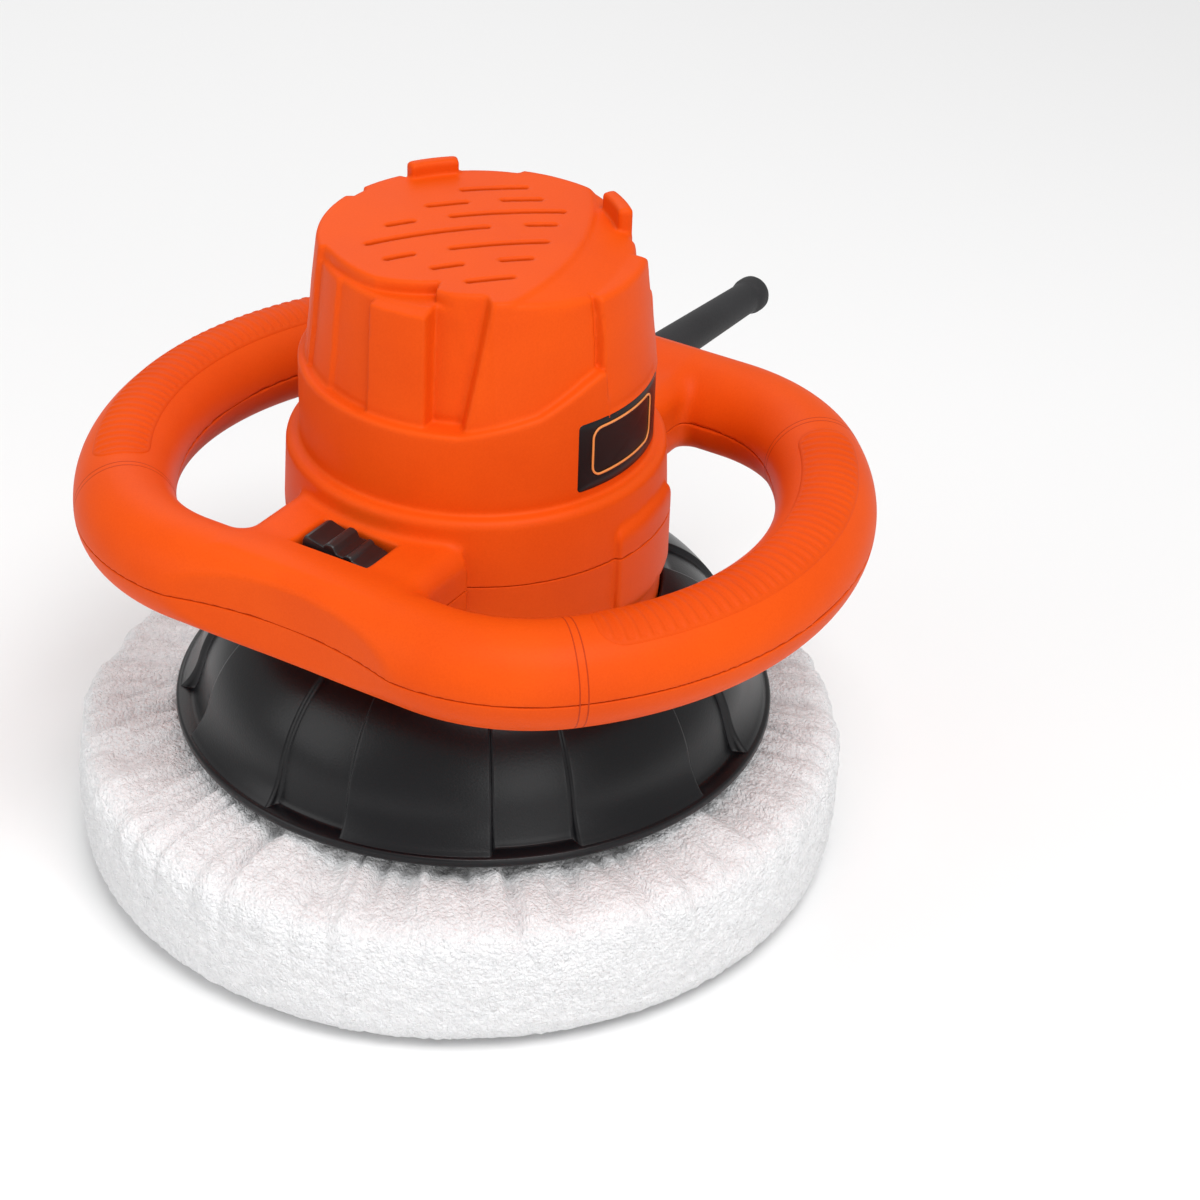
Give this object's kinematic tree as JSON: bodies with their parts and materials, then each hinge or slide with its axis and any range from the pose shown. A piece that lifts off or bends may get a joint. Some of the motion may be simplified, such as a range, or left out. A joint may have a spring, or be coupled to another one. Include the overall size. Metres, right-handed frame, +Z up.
{
  "type": "rotary polisher",
  "caption": "Two-handed random-orbit car polisher: orange hand ring and vented motor housing over a dark skirt and a round pad in a terry bonnet, with a rocker switch.",
  "frame": {"origin": "on the motor axis, in the plane the bonnet rests on", "axes": "+Z up along the motor axis, -Y towards the switch (front), +Y towards the cord guard, +X to the user's right seen from the front"},
  "size_m": [0.243, 0.2907, 0.2085],
  "materials": {
    "orange_plastic": "fine-textured moulded plastic",
    "dark_plastic": "satin moulded plastic",
    "switch_plastic": "smooth moulded plastic",
    "guard_rubber": "matt flexible rubber",
    "label_plate": "smooth blank plate",
    "terry": "looped terry cloth",
    "elastic": "cloth-covered elastic cord",
    "foam": "dense open-cell foam",
    "fan_plastic": "moulded plastic",
    "frame_plastic": "glass-filled plastic",
    "backing_plastic": "ribbed moulded plastic",
    "zinc_steel": "zinc-plated screws and clips",
    "bearing_steel": "ground bearing steel",
    "shaft_steel": "turned and ground steel",
    "lamination": "varnished stacked laminations",
    "winding": "enamelled copper wire",
    "commutator_copper": "turned copper bars",
    "brush_holder_brass": "folded brass",
    "carbon": "pressed carbon",
    "cast_bracket": "die-cast aluminium",
    "weight_iron": "cast iron",
    "capacitor_case": "moulded case"
  },
  "bodies": {
    "machine": {"upper_housing": "orange_plastic", "lower_housing": "orange_plastic", "skirt": "dark_plastic", "skirt_screws": "zinc_steel", "housing_screws": "zinc_steel", "side_label": "label_plate", "switch_body": "switch_plastic", "rocker_pin": "zinc_steel", "cord_guard": "guard_rubber", "cord_clamp": "frame_plastic", "clamp_screws": "zinc_steel", "bearing_bracket": "cast_bracket", "bracket_screws": "zinc_steel", "lower_bearing_outer": "bearing_steel", "fan_baffle": "frame_plastic", "stator_core": "lamination", "field_coils": "winding", "stator_screws": "zinc_steel", "end_frame": "frame_plastic", "brush_holders": "brush_holder_brass", "brushes": "carbon", "brush_springs": "zinc_steel", "brush_caps": "dark_plastic", "upper_bearing_outer": "bearing_steel", "capacitor": "capacitor_case"},
    "rotor": {"motor_shaft": "shaft_steel", "armature_core": "lamination", "armature_windings": "winding", "commutator": "commutator_copper", "fan": "fan_plastic", "lower_bearing_inner": "bearing_steel", "upper_bearing_inner": "bearing_steel", "eccentric_hub": "cast_bracket", "hub_setscrew": "zinc_steel", "counterweight": "weight_iron", "counterweight_screws": "zinc_steel", "pad_bearing_outer": "bearing_steel"},
    "pad": {"pad_bearing_inner": "bearing_steel", "bearing_clip": "zinc_steel", "pad_spindle": "shaft_steel", "pad_screws": "zinc_steel", "backing_plate": "backing_plastic", "foam_pad": "foam", "bonnet": "terry", "bonnet_elastic": "elastic"},
    "rocker": {"switch_rocker": "switch_plastic"}
  },
  "joints": [
    {"name": "motor_spin", "type": "hinge", "parent": "machine", "child": "rotor", "pos_m": [0, 0, 0.1], "axis": [0, 0, 1], "continuous": true},
    {"name": "pad_spin", "type": "hinge", "parent": "rotor", "child": "pad", "pos_m": [-0.005, 0, 0.06], "axis": [0, 0, 1], "continuous": true},
    {"name": "switch_rock", "type": "hinge", "parent": "machine", "child": "rocker", "pos_m": [0, -0.066, 0.1307], "axis": [0, 1, 0], "range_deg": [-18, 0]}
  ]
}
